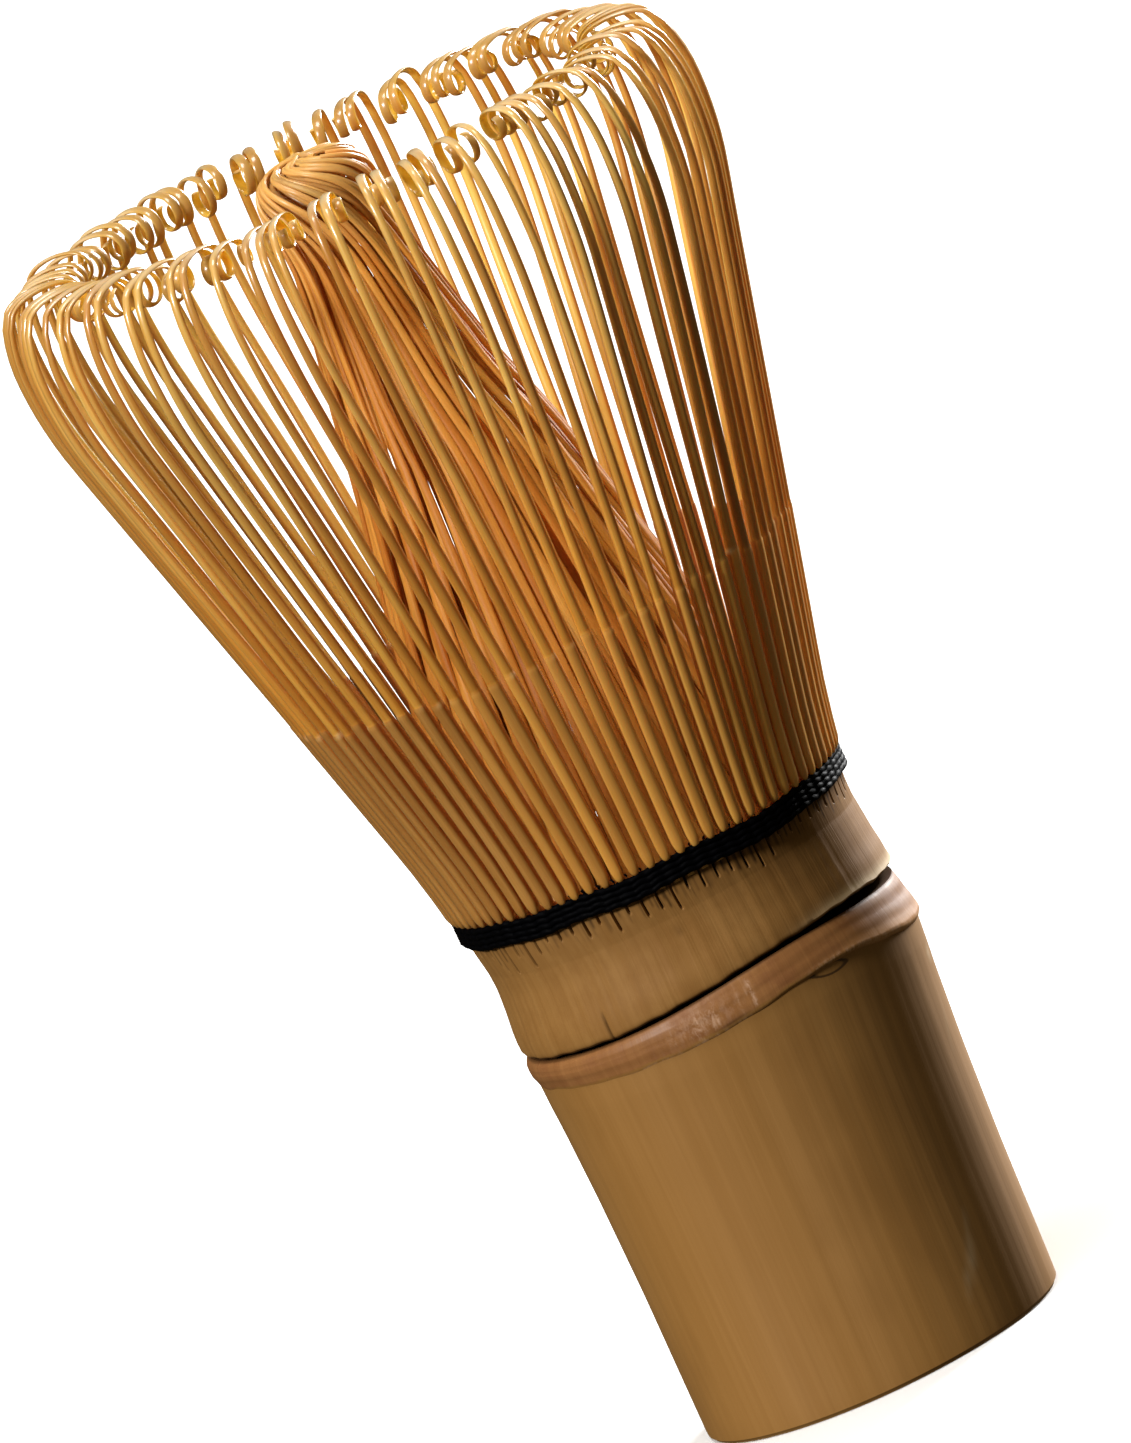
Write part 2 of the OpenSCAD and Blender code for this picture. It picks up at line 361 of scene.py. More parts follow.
def shaved_bamboo():
    """Outer tines: khaki skin low down, then golden shaved wood that is palest where it curls,
    where a painted highlight whitens the bend; painted fill light lifts the inner faces and the
    skin towards the right, and painted shade darkens the flanks.
    """
    look = Look("shaved_bamboo", Coat_Weight=1.0, Coat_Roughness=0.17, Specular_IOR_Level=0.4)
    glow(look)
    inward, tone, skin_zone = look.value("inward"), look.value("tone"), look.value("skin")
    outer_face = look.between(inward, 0.2, 0.45, 1.0, 0.0)
    inner_face = look.between(inward, 0.8, 1.0, 0.0, 0.9)
    flank = look.times(look.between(inward, 0.2, 0.45), look.between(inward, 0.75, 0.95, 1.0, 0.0))

    wood, height, _ = fibres(look, srgb(244, 184, 82), srgb(214, 142, 48), 0.5, 3.0, 0.9)
    high_wood, _, _ = fibres(look, srgb(250, 208, 116), srgb(220, 166, 74), 0.5, 3.0, 0.9)
    wood = look.mix(look.value("high"), wood, high_wood)
    # Paler yellow inner faces: the inner wood's own colour, raised further as painted fill light.
    wood = look.mix(inner_face, wood, srgb(246, 218, 114))
    # flank darkens the cut sides of the tines: their own colour, and painted shade between the
    # tines.
    wood = look.mix(look.times(flank, 0.35), wood, srgb(158, 92, 32))
    wood = look.mix(look.between(tone, 0.0, 1.0, 0.0, 0.7), wood, srgb(178, 110, 36))
    curled = look.mix(inward, srgb(178, 138, 74), srgb(230, 180, 56))
    wood = look.mix(look.times(look.value("curl"), 0.75), wood, curled)
    # Whitening at the first bend, as bent bamboo pales, with a painted highlight on top.
    wood = look.mix(look.value("bend"), wood, srgb(255, 240, 214))
    wood = look.mix(look.times(skin_zone, 0.8), wood, srgb(184, 106, 40))

    skin, _, _ = fibres(look, srgb(206, 150, 76), srgb(178, 122, 52), 0.5, 3.0, 0.8)
    # Painted fill light: the skin is lighter and warmer from the front round to the right, the side
    # the key light leaves in shade.
    skin = look.mix(look.value("warm"), skin, srgb(255, 184, 80))
    skin = look.mix(look.between(tone, 0.0, 1.0, 0.0, 0.4), skin, srgb(150, 92, 32))

    colour = look.mix(look.times(skin_zone, outer_face), wood, skin)
    colour = look.mix(look.value("fleck"), colour, srgb(232, 194, 134))
    return look.finish(colour, look.between(skin_zone, 0.0, 1.0, 0.32, 0.45), height, 0.03)


def dark_bamboo():
    """Inner tines: darker, redder wood that pales where the bundle folds over at the top."""
    look = Look("dark_bamboo", Coat_Weight=0.2, Coat_Roughness=0.25, Specular_IOR_Level=0.35)
    glow(look)
    colour, height, broad = fibres(look, srgb(238, 172, 80), srgb(206, 134, 48), 0.5, 3.0, 0.8)
    tone = look.between(look.value("tone"), 0.0, 1.0, 0.0, 0.72)
    colour = look.mix(tone, colour, srgb(170, 94, 26))
    colour = look.mix(look.times(look.value("curl"), 0.6), colour, srgb(228, 176, 104))
    return look.finish(colour, look.between(broad, 0.3, 0.7, 0.34, 0.44), height, 0.03)


def black_thread():
    look = Look("black_thread", Specular_IOR_Level=0.04)
    ply = look.noise((6.0, 6.0, 2.0), 3.0)
    colour = look.mix(ply, srgb(0, 0, 1), srgb(2, 2, 4))
    return look.finish(colour, look.between(ply, 0.3, 0.7, 0.55, 0.75), ply, 0.05)


# ---------------------------------------------------------------- handle, node and neck

thread_low, thread_top = box_mm("thread_wraps")
_, neck_top = box_mm("neck")
NECK_TOP = neck_top[2]
THREAD_OUT = thread_top[0]
THREAD_LOW, THREAD_HIGH = thread_low[2], thread_top[2]
HEAD_R = cad_high.x / MM
HEAD_TOP = cad_high.z / MM

# The node's plane leans up to the right, and the handle below it leans too
NODE_Z = 34.2
NODE_X = 0.35
NODE_TILT = math.tan(math.radians(2))
HANDLE_X = -0.62
HANDLE_LEAN = math.tan(math.radians(1.9))
HANDLE_TALL = 32.5
HANDLE_FOOT_R, HANDLE_TOP_R = 15.9, 17.1
BORE_R = 11.4
NECK_BORE_R = 13.6
# Centre of the culm at the node, against the head's axis
CULM_X = 0.27
# Top of the ridge above the node's middle, and the gap from there up to the neck
UPPER_EDGE = 1.95
GROOVE = 0.3
# Bottom of the neck's profile; the neck's real lower edge follows the node
NECK_LOW = 36.6
# How far below the neck's top the thread hides it
NECK_HIDDEN = NECK_TOP - THREAD_LOW + 0.3
# Leaf scar: angle from the front, height, half width and half height
SCAR_PHI, SCAR_Z, SCAR_HALF_WIDE, SCAR_HALF_TALL = 29.8, 33.05, 1.9, 0.52
SKIN_MM_PER_DEGREE = 0.3


def on_node(x, dz):
    """Height of the tilted plane that lies dz above the middle of the node."""
    return NODE_Z + dz + NODE_TILT * (x - NODE_X)


def node_rise(azimuth):
    """The node climbs a little higher at the front right than a flat cut would."""
    return 1.05 * bump_at(turned(azimuth), 22, 64)


def ridge_height(azimuth):
    """The reddish band is narrow on the left and wide on the right."""
    phi = turned(azimuth)
    return 3.25 + 0.95 * np.sin(np.radians(phi)) - 0.75 * bump_at(phi, 36, 34)


def culm_grid(rows, azimuth):
    """Turns rows of [radius, height, centre x] functions of azimuth into points."""
    points = []
    for r, z, x in rows:
        p = radial(azimuth) * np.broadcast_to(r, azimuth.shape)[:, None]
        p[:, 0] += x
        p[:, 2] = z
        points.append(p)
    return np.array(points)


def culm_wobble(azimuth):
    """How far the culm is from round, the same for every piece of it."""
    rng = np.random.default_rng(11)
    return 0.06 * ripple(azimuth, (2, 3, 5), rng)


def culm_grain(points, azimuth, radius):
    """Grain space of a culm: round it, and up it."""
    grain = points.copy()
    grain[..., :2] = radial(azimuth)[None, :, :2] * radius
    return grain


# Scuffs on the handle, and painted highlights along its right rim in the last two entries: angle
# from the front, height, angle across, height across, strength
SCUFFS_AND_RIM_HIGHLIGHTS = [
    (38, 7, 3, 2.2, 0.5), (41, 9.5, 1.6, 1.2, 0.4), (33, 5.2, 2, 1.4, 0.35),
    (78, 29.8, 4, 0.8, 0.6), (70, 24, 2, 3, 0.15),
]
SCUFF_AND_HIGHLIGHT_SLANT = 1.4


def handle_scar(phi, z, azimuth):
    """0 in the middle of the leaf scar and 1 on its outline, which sags to the right."""
    off = (phi - SCAR_PHI) * SKIN_MM_PER_DEGREE / SCAR_HALF_WIDE
    climb = z - SCAR_Z - node_rise(azimuth) + 0.12 * off
    return off ** 2 + (climb / (SCAR_HALF_TALL - 0.16 * off ** 2)) ** 2


def culm_handle(material):
    """The hollow handle, cut flat at the foot and along the node's edge at the top."""
    rng = np.random.default_rng(11)
    azimuth = np.arange(0, 360, 360 / 288)
    wobble = culm_wobble(azimuth)
    fine = 0.012 * ripple(azimuth, (31, 47, 83), np.random.default_rng(5))
    close_to_foot, close_to_node = [0, 0.004, 0.01], np.linspace(0.925, 1, 25)
    fractions = np.concatenate([close_to_foot, np.linspace(0.03, 0.91, 28), close_to_node])
    heights = fractions * HANDLE_TALL
    radii = np.interp(
        heights, [0, 13, 21.6, 28, 30.5, HANDLE_TALL],
        [HANDLE_FOOT_R, 16.12, 16.42, 16.78, 16.98, HANDLE_TOP_R],
    )
    radii = radii - 0.3 * (1 - ramp(heights, 0, 0.5)) ** 2
    across = np.cos(np.radians(azimuth)) * HANDLE_TOP_R
    top = on_node(across, UPPER_EDGE - ridge_height(azimuth)) + node_rise(azimuth)
    rows = []
    for f, r in zip(fractions, radii):
        fine_here = fine * ramp(f, 0, 0.03) * (1 - ramp(f, 0.9, 1))
        middle_x = HANDLE_X + HANDLE_LEAN * f * HANDLE_TALL
        rows.append((r + wobble + fine_here, f * top, middle_x))
    outer = len(rows)
    lean_at_top = HANDLE_X + HANDLE_LEAN * HANDLE_TALL
    rows.append((BORE_R + 2, top - 0.02, lean_at_top * 0.5))
    for f, bevel in (
        (1, 0), (0.92, 0), (0.7, 0), (0.45, 0), (0.2, 0), (0.03, 0), (0.008, 0.08), (0, 0.35),
    ):
        rough = 0.08 * ripple(azimuth, (7, 12, 19), rng) * (f > 0)
        rows.append((BORE_R + bevel + rough, f * top, 0))
    points = culm_grid(rows, azimuth)
    z = points[..., 2]
    phi = turned(azimuth)[None, :] + 0 * z
    # Scratches, and the painted highlights of the right rim.
    scuff = np.zeros_like(z)
    for at, height, wide, tall, strength in SCUFFS_AND_RIM_HIGHLIGHTS:
        slanted = phi - SCUFF_AND_HIGHLIGHT_SLANT * (z - height)
        scuff += strength * bump_at(slanted, at, wide) * bump_at(z, height, tall)
    cut = np.zeros_like(z)
    cut[outer:] = 1
    cut[0] = 1
    shell = Shell()
    shell.add(
        points, closed_rows=True, grain=culm_grain(points, azimuth, 16.5),
        scuff=np.clip(scuff, 0, 1), cut=cut, scar=np.clip(handle_scar(phi, z, azimuth), 0, 3),
    )
    made = shell.piece("culm_handle", material, "culm_skin", ["handle_tube"])
    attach(made, "handle")


# Profiles of the ridge at the far left and the far right: height up it from 0 to 1, and radius
RIDGE_ON_LEFT = [
    (0.0, 16.84), (0.08, 16.95), (0.18, 17.06), (0.3, 17.17), (0.44, 17.29), (0.6, 17.36),
    (0.75, 17.32), (0.87, 17.2), (0.94, 17.05), (1.0, 16.8),
]
RIDGE_ON_RIGHT = [
    (0.0, 16.8), (0.03, 17.16), (0.07, 17.42), (0.12, 17.55), (0.18, 17.56), (0.3, 17.46),
    (0.48, 17.28), (0.64, 17.12), (0.8, 16.98), (0.92, 16.86), (1.0, 16.75),
]


def ridge_colours(azimuth, around, level, outer, rng):
    """Wear, a painted sheen, painted shade in the dark groove, painted highlights on the pale right
    shoulder and the khaki foot of the ridge, over its height from 0 to 1.
    """
    # The sheen, the right edge line and pale are painted highlights; scratch and tick are
    # scratches.
    sheen = 0.3 * bump_at(around, -9, 15) * bump_at(level, 0.5, 0.5)
    scratch = np.clip(rng.normal(0, 1, len(azimuth)) - 0.6, 0, 1)[None, :]
    scratch = scratch * bump_at(around, -7, 22) * bump_at(level, 0.45, 0.6)
    broken = 0.55 + 0.45 * ripple(azimuth, (3, 8, 21), rng)[None, :]
    lower_edge = 0.6 * bump_at(level, 0.05, 0.07) * broken
    ledge = ramp(around, -40, -22) * (1 - ramp(around, 0, 9))
    right_side = away_from_back(around)
    right_edge_highlight = 0.5 * ramp(around, 18, 34) * right_side * bump_at(level, 0.14, 0.12)
    tick = bump_at(around, 6.5, 0.9) * ramp(level, 0.1, 0.3) * (1 - ramp(level, 0.75, 0.95))
    scuff = sheen + 0.5 * scratch + lower_edge * (0.15 + 0.85 * ledge) + right_edge_highlight + 0.6 * tick
    # Painted shade along the top of the ridge and on every face of the groove, with one dark mark
    # low at the front.
    crack = 0.6 * ramp(level, 0.93, 1.0) * (level > 0)
    crack += 0.5 * bump_at(around, -1.5, 9) * bump_at(level, 0.16, 0.08)
    scuff[outer:] = 0
    crack[outer:] = 1.0
    # pale is a painted highlight on the upward-facing right shoulder.
    pale = ramp(around, 24, 60) * right_side * bump_at(level, 0.15, 0.4)
    pale = pale * (0.9 - 0.4 * ramp(around, 55, 80))
    return {
        "pale": pale, "scuff": np.clip(scuff, 0, 1), "crack": np.clip(crack, 0, 1),
        "skin": (1 - ramp(level, 0, 0.34)) * 0.9,
    }


def culm_node(material):
    """The ridge of the node, with the groove between it and the neck painted black as shade."""
    rng = np.random.default_rng(23)
    azimuth = np.arange(0, 360, 0.5)
    phi = turned(azimuth)
    to_right = 0.5 + 0.5 * np.sin(np.radians(phi))
    overlap = 0.12 + 0.4 * (1 - to_right)
    tall = ridge_height(azimuth) + overlap + 0.06 * ripple(azimuth, (5, 9, 17, 26), rng)
    swell = culm_wobble(azimuth)
    heights = np.linspace(0, 1, 52)
    left_radii = np.interp(heights, *zip(*RIDGE_ON_LEFT))
    right_radii = np.interp(heights, *zip(*RIDGE_ON_RIGHT))
    rows = []
    rise = node_rise(azimuth)
    for f, left_r, right_r in zip(heights, left_radii, right_radii):
        r = left_r * (1 - to_right) + right_r * to_right
        x = np.cos(np.radians(azimuth)) * r
        z = on_node(x, UPPER_EDGE - tall * (1 - f)) + rise
        wrinkle = 0.012 * np.sin(f * 19 + 2 * np.sin(np.radians(3 * azimuth)))
        rows.append((r + swell + wrinkle * ramp(f, 0, 0.2), z, CULM_X + 0.1))
    outer = len(rows)
    x = np.cos(np.radians(azimuth)) * NECK_BORE_R
    groove_top = on_node(x, UPPER_EDGE + 1.4) + rise
    rows.append((15.6, on_node(x, UPPER_EDGE - 0.15) + rise, CULM_X))
    rows.append((15.5, groove_top, CULM_X))
    rows.append((NECK_BORE_R, groove_top, 0))
    rows.append((NECK_BORE_R, on_node(x, UPPER_EDGE - tall) + rise, 0))
    points = culm_grid(rows, azimuth)
    z = points[..., 2]
    around = phi[None, :] + 0 * z
    level = np.zeros_like(z)
    level[:outer] = heights[:, None]
    shell = Shell()
    shell.add(
        points, closed_rows=True, grain=culm_grain(points, azimuth, 17.2),
        **ridge_colours(azimuth, around, level, outer, rng),
    )
    made = shell.piece("culm_node", material, "node_ridge", ["node_ridge"])
    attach(made, "handle")


def slit_columns():
    """Azimuths round the neck, close together on the walls of the slits between the tines."""
    parts = np.array([-0.5, -0.36, -0.22, -0.12, -0.07, -0.04, 0.04, 0.07, 0.12, 0.22, 0.36])
    return (np.arange(360 / PITCH)[:, None] + parts[None, :]).ravel() * PITCH


def lower_split(phi, z):
    """A short split that runs up from the neck's lower edge at the front left."""
    return bump_at(phi, -35, 0.8) * (1 - ramp(z, 38.0, 38.7))


def neck_radii(heights):
    """Radius of the neck, waisted in the middle and rounded off at its lower edge."""
    radii = np.interp(
        heights, [NECK_LOW, 37.6, 38.5, 40.2, 42.2, 43.6, 45.2, NECK_TOP],
        [17.1, 17.14, 17.1, 16.88, 16.72, 16.7, 16.85, 17.0],
    )
    return radii - 0.3 * (1 - ramp(heights, NECK_LOW - 0.05, NECK_LOW + 0.35)) ** 1.5


def neck_colours(azimuth, around, z, rolled, dark, rng):
    """Darkness of the neck: cracks and marks, with painted shade in the slits (dark, on its outer
    rows), under the thread, at its lower edge and on its right side; and the painted highlight on
    its lip.
    """
    outer = len(dark)
    split = lower_split(around, z)
    mark = bump_at(around, -4, 2.0) * bump_at(z, 42.6, 0.35)
    # stain is painted shade on the neck's right side.
    stain = bump_at(around, 37, 26)
    uneven = 0.6 + 0.4 * ripple(azimuth, (9, 17, 29), rng)[None, :]
    # Painted shade just under the thread.
    under_thread_shade = np.clip(0.35 * ramp(z, NECK_TOP - 1.4, NECK_TOP) * uneven, 0, 1)
    crack = 0.6 * split + 0.7 * mark + 0.2 * stain + under_thread_shade
    crack[:outer] += dark
    crack[outer:] = 0
    # Painted shade on the two lowest rows, at the groove.
    crack[:2] = 0.8
    # A painted highlight along the rolled lip at the right.
    scuff = bump_at(np.arange(len(z)), 3.4, 2.6)[:, None] * rolled[None, :]
    scuff[outer:] = 0
    return {"scuff": np.clip(scuff, 0, 1), "crack": np.clip(crack, 0, 1)}


def culm_neck(material):
    """The neck, with slits that run down into it and a lower edge that is rolled at the right."""
    rng = np.random.default_rng(37)
    azimuth = slit_columns()
    phi = turned(azimuth)
    share = (azimuth / PITCH + 0.5) % 1 - 0.5
    count = int(360 / PITCH)
    slit = np.round(azimuth / PITCH).astype(int) % count
    reach = NECK_HIDDEN + rng.uniform(0.1, 1.3, count) + 0.9 * (rng.random(count) < 0.2)
    reach = reach[slit]
    faint = rng.choice([0.0, 0.4, 0.6, 0.8], count, p=[0.15, 0.3, 0.3, 0.25])[slit]
    faint = faint + 0.3 * ramp(phi, -30, 30) * (1 - ramp(phi, 120, 170))
    on_wall = np.where(np.abs(share) < 0.08, 0.25, 0.0)
    wide = np.where(np.abs(share) < 0.055, 1.0, on_wall)
    foot = UPPER_EDGE + GROOVE + 0.5 * ramp(phi, 15, 58) * (1 - ramp(phi, 95, 140))
    close_to_edge, near_slits = [0, 0.01, 0.02, 0.035, 0.06], np.linspace(0.69, 1, 34)
    fractions = np.concatenate([close_to_edge, np.linspace(0.1, 0.66, 12), near_slits])
    radii = neck_radii(np.interp(fractions, [0, 1], [NECK_LOW, NECK_TOP]))
    creases = ripple(azimuth, (41, 67, 89, 113), rng)
    streaks = np.clip(rng.normal(0, 0.5, len(azimuth)), 0, 0.8)
    streaks = streaks * (0.35 + 0.65 * ramp(phi, -50, 30) * (1 - ramp(phi, 110, 170)))
    streak_low = NECK_TOP - NECK_HIDDEN - rng.uniform(0.2, 1.5, len(azimuth))
    faint_between = np.clip(rng.uniform(-0.4, 0.8, len(azimuth)), 0, 1) * (np.abs(share) > 0.4)
    wobble = culm_wobble(azimuth)
    calm = 1 - 0.8 * ramp(phi, 20, 45) * away_from_back(phi)
    fine = 0.018 * ripple(azimuth, (37, 61, 97), rng) * calm
    rolled = ramp(phi, 20, 50) * away_from_back(phi)
    jagged = 0.05 * ripple(azimuth, (11, 23, 41), rng)
    lower = on_node(np.cos(np.radians(azimuth)) * 17, foot + jagged) + node_rise(azimuth)
    rows, dark = [], []
    for n, (f, r) in enumerate(zip(fractions, radii)):
        z = lower + (NECK_TOP - lower) * f
        # dark paints shade into the slits, darker towards the right, with short dark streaks below
        # and between them.
        depth = wide * np.clip((z - (NECK_TOP - reach)) / 0.3, 0, 1)
        smudge = streaks * np.clip((z - streak_low) / 0.5, 0, 1)
        between = faint_between * np.clip((z - streak_low) / 0.3, 0, 1)
        dark.append(np.maximum(np.maximum(depth * np.clip(faint, 0, 1), smudge), between))
        wrinkle = 0.012 * creases * bump_at(phi, 44, 22) * bump_at(z, 41, 5)
        lip = 0.16 * rolled * bump_at(n, 3, 2.4)
        worn = wrinkle - 0.15 * lower_split(phi, z) + lip
        middle_x = CULM_X * (1 - ramp(f, 0.5, 0.95))
        rows.append((r + wobble + fine - 0.4 * depth + worn, z, middle_x))
    rows.append((NECK_BORE_R + 0.9, NECK_TOP, 0))
    rows.append((NECK_BORE_R, NECK_TOP, 0))
    rows.append((NECK_BORE_R, lower, 0))
    rows.append((NECK_BORE_R + 1, lower, 0))
    points = culm_grid(rows, azimuth)
    z = points[..., 2]
    around = phi[None, :] + 0 * z
    shell = Shell()
    shell.add(
        points, closed_rows=True, grain=culm_grain(points, azimuth, 17),
        **neck_colours(azimuth, around, z, rolled, np.array(dark), rng),
    )
    made = shell.piece("culm_neck", material, "neck_skin", ["neck"])
    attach(made, "handle")


def culm_septum(material):
    """The wall that closes the culm at the node, dished on both sides and rough."""
    rng = np.random.default_rng(41)
    azimuth = np.arange(0, 360, 3.75)
    low, high = box_mm("node_septum")
    middle = (low[2] + high[2]) / 2
    half_thick = 0.85
    steps = np.linspace(0.02, 1, 12)
    rows = []
    rough = 0.12 * ripple(azimuth, (3, 5, 8), rng)
    for f in steps:
        under = middle - half_thick + 0.35 * (1 - f * f)
        rows.append((NECK_BORE_R * f, under + rough * f * (1 - f), 0))
    for f in steps[::-1]:
        over = middle + half_thick - 0.3 * (1 - f * f)
        rows.append((NECK_BORE_R * f, over + rough * f * (1 - f), 0))
    points = culm_grid(rows, azimuth)
    points[..., 2] += NODE_TILT * (points[..., 0] - NODE_X)
    shell = Shell()
    grain = points[..., [2, 1, 0]]
    # The whole wall is darkened evenly by a quarter.
    shell.add(points, caps=True, grain=grain, crack=0.25 + 0 * points[..., 0])
    made = shell.piece("culm_septum", material, "culm_inside", ["node_septum"])
    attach(made, "handle")


# ---------------------------------------------------------------- thread

# Points along one turn of thread, and the length over which its two plies turn by a radian
STATIONS_PER_TURN = 620
PLY_TWIST = 0.62


def wound_thread(name, material, node, radius, low, turns, rise, seed, sink):
    """Turns of two-ply black cord, wavy as it is pulled in between the tines."""
    rng = np.random.default_rng(seed)
    cord_r = rise / 2
    stations = int(turns * STATIONS_PER_TURN)
    azimuth = np.linspace(0, 360 * turns, stations) + 20
    a = np.radians(azimuth)
    shared = 0.17 * ripple(azimuth % 360, (2, 3, 5, 7, 11), np.random.default_rng(9))
    drift = shared + 0.06 * ripple(azimuth, (4, 9, 14), rng)
    lobes = np.cos(a * 360 / PITCH)
    height = low + cord_r + rise * azimuth / 360 + drift - 0.05 * lobes
    place = radial(azimuth) * (radius - sink * lobes)[:, None]
    place[:, 2] = height
    along = unit(np.gradient(place, axis=0))
    out = radial(azimuth)
    side = unit(np.cross(along, out))
    out = np.cross(side, along)
    spin = a * radius / PLY_TWIST
    around = np.radians(np.arange(0, 360, 36))
    bulge = np.abs(np.cos(around[None, :] - spin[:, None]))
    r = cord_r * (0.98 + 0.24 * bulge)
    across, outward = r * np.cos(around), r * np.sin(around)
    points = place[:, None] + (
        side[:, None] * across[..., None] + out[:, None] * outward[..., None]
    )
    length = (a * radius)[:, None] + 0 * r
    grain = np.stack([across, outward, length], -1)
    shell = Shell()
    shell.add(points, caps=True, grain=grain)
    made = shell.piece(name, material, "black_thread", [node], sharp=80)
    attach(made, "handle")


# ---------------------------------------------------------------- tines

OUTER_SECTION = np.array([
    (-0.6, 0.0), (0, 0.04), (0.6, 0.0), (0.92, -0.14), (1, -0.36), (1, -0.85),
    (0.82, -1), (0, -1), (-0.82, -1), (-1, -0.85), (-1, -0.36), (-0.92, -0.14),
])
ROUND_SECTION = np.array([
    (-0.5, -0.04), (0, 0.06), (0.5, -0.04), (0.84, -0.24), (1, -0.52), (0.86, -0.82),
    (0.5, -1), (0, -1.06), (-0.5, -1), (-0.86, -0.82), (-1, -0.52), (-0.84, -0.24),
])
INNER_SECTION = np.array([
    (-0.4, 0.48), (0.4, 0.48), (0.85, 0.28), (1, 0), (0.85, -0.3),
    (0.4, -0.5), (-0.4, -0.5), (-0.85, -0.3), (-1, 0), (-0.85, 0.28),
])
# Height at which the skin was shaved off the outer tines
SKIN_LINE = 68.4
# Where the outer face of an outer tine leaves the thread, and the length from there to its curl
SHOULDER_R, SHOULDER_Z = 17.78, 48.4
CURL_START = 64.5
STEP = 0.1
# Foot of an outer tine, behind and just over the thread: radius, height, width, thickness
TINE_FOOT = np.array([
    (16.95, 46.3, 0.85, 0.7), (16.98, 48.08, 0.8, 0.7), (17.1, 48.2, 0.5, 0.72),
    (17.4, 48.28, 0.56, 0.78), (17.62, 48.38, 0.66, 0.84), (17.74, 48.58, 0.8, 0.88),
])

# Angle of an outer tine from straight up, leaning outwards, against the length along it
LEAN_OF_TINE = [(0, 9), (7.8, 15), (49.8, 15), (58.4, 0), (63.3, -20), (66.1, -75), (70.3, -105)]
# Its curl after that: [radius, angle reached]
CURL = [(1.85, -180), (1.5, -300), (1.25, -430)]


def cluster_habit(rng):
    """What the tines of one cluster share: how they curl, how far out and up they reach."""
    return {
        "tight": rng.uniform(0.8, 1.12),
        "last": rng.uniform(-30, 15),
        "bow": rng.uniform(-0.8, 0.8),
        "widest": HEAD_R - rng.uniform(0.3, 0.75),
        "top": HEAD_TOP - rng.uniform(0.5, 1.0),
        "drift": rng.uniform(0.6, 1.2),
        "sway": rng.uniform(-0.35, 0.35),
        "facing": math.radians(rng.normal(0, 9)),
    }


def outer_line(habit, rng):
    """Length, radius and height of one outer tine's outer face, with its own flare and curl."""
    lengths = [s for s, _ in LEAN_OF_TINE]
    leans = [h for _, h in LEAN_OF_TINE]
    tight = habit["tight"] * rng.uniform(0.97, 1.03)
    last = habit["last"] + rng.uniform(-18, 18)
    for n, (radius, angle) in enumerate(CURL):
        angle = angle + (last if n == len(CURL) - 1 else 0)
        lengths.append(lengths[-1] + radius * tight * math.radians(leans[-1] - angle))
        leans.append(angle)
    s = np.arange(0, lengths[-1], STEP)
    lean = np.interp(s, lengths, leans)
    bow = habit["bow"] * np.sin(np.pi * np.clip(s / 58, 0, 1))
    reach = 9
    padded = np.concatenate([np.full(reach, lean[0]), lean, np.full(reach, lean[-1])])
    kernel = np.hanning(2 * reach + 3)[1:-1]
    lean = np.convolve(padded, kernel / kernel.sum(), "valid") + bow
    r = SHOULDER_R + np.cumsum(np.sin(np.radians(lean))) * STEP
    z = SHOULDER_Z + np.cumsum(np.cos(np.radians(lean))) * STEP
    widest = habit["widest"] + rng.uniform(-0.3, 0.02)
    top = habit["top"] + rng.uniform(-0.25, 0.25)
    r = SHOULDER_R + (r - SHOULDER_R) * (widest - SHOULDER_R) / (r.max() - SHOULDER_R)
    z = SHOULDER_Z + (z - SHOULDER_Z) * (top - SHOULDER_Z) / (z.max() - SHOULDER_Z)
    return s, r, z


# How the five outer tines of a splint lean together, in ones, twos and threes
CLUSTERS = [(3, 2), (2, 3), (2, 2, 1), (1, 2, 2), (2, 1, 2), (1, 3, 1), (2, 2, 1), (1, 2, 2)]


def gathered(rng):
    """Top azimuth, from the middle of the splint, and the shared habit of each outer tine."""
    close = rng.uniform(2.5, 3.3)
    tops, habits = [], []
    for size in CLUSTERS[rng.integers(len(CLUSTERS))]:
        middle = (len(tops) + (size - TINES_PER_SPLINT) / 2) * PITCH + rng.uniform(-0.5, 0.5)
        tops += [middle + (k - (size - 1) / 2) * close for k in range(size)]
        habits += [cluster_habit(rng)] * size
    return tops, habits


def tine_sizes(skin_s, end, rng):
    """Stations along one outer tine, with its width, thickness and how far it is shaved down."""
    after = skin_s + 0.16
    picks = np.concatenate([
        [0.45, 0.9, 1.5], np.linspace(2.4, skin_s - 0.4, 7), [skin_s, after, skin_s + 0.4],
        np.linspace(skin_s + 2, 49, 12), np.linspace(51, 63, 10),
        np.linspace(CURL_START, end, 44),
    ])
    wide = rng.uniform(0.92, 1.08) * np.interp(
        picks, [0, 0.9, 1.5, skin_s, after, 42, 58, 65, 70, end],
        [0.8, 1.02, 1.05, 1.02, 0.97, 0.9, 0.76, 0.74, 0.9, 0.8],
    )
    thick = np.interp(
        picks, [0, skin_s, after, 42, 58, 68, end], [0.9, 0.84, 0.76, 0.7, 0.56, 0.3, 0.2],
    )
    inset = np.interp(picks, [skin_s, after], [0, 0.07])
    return picks, wide, thick, inset


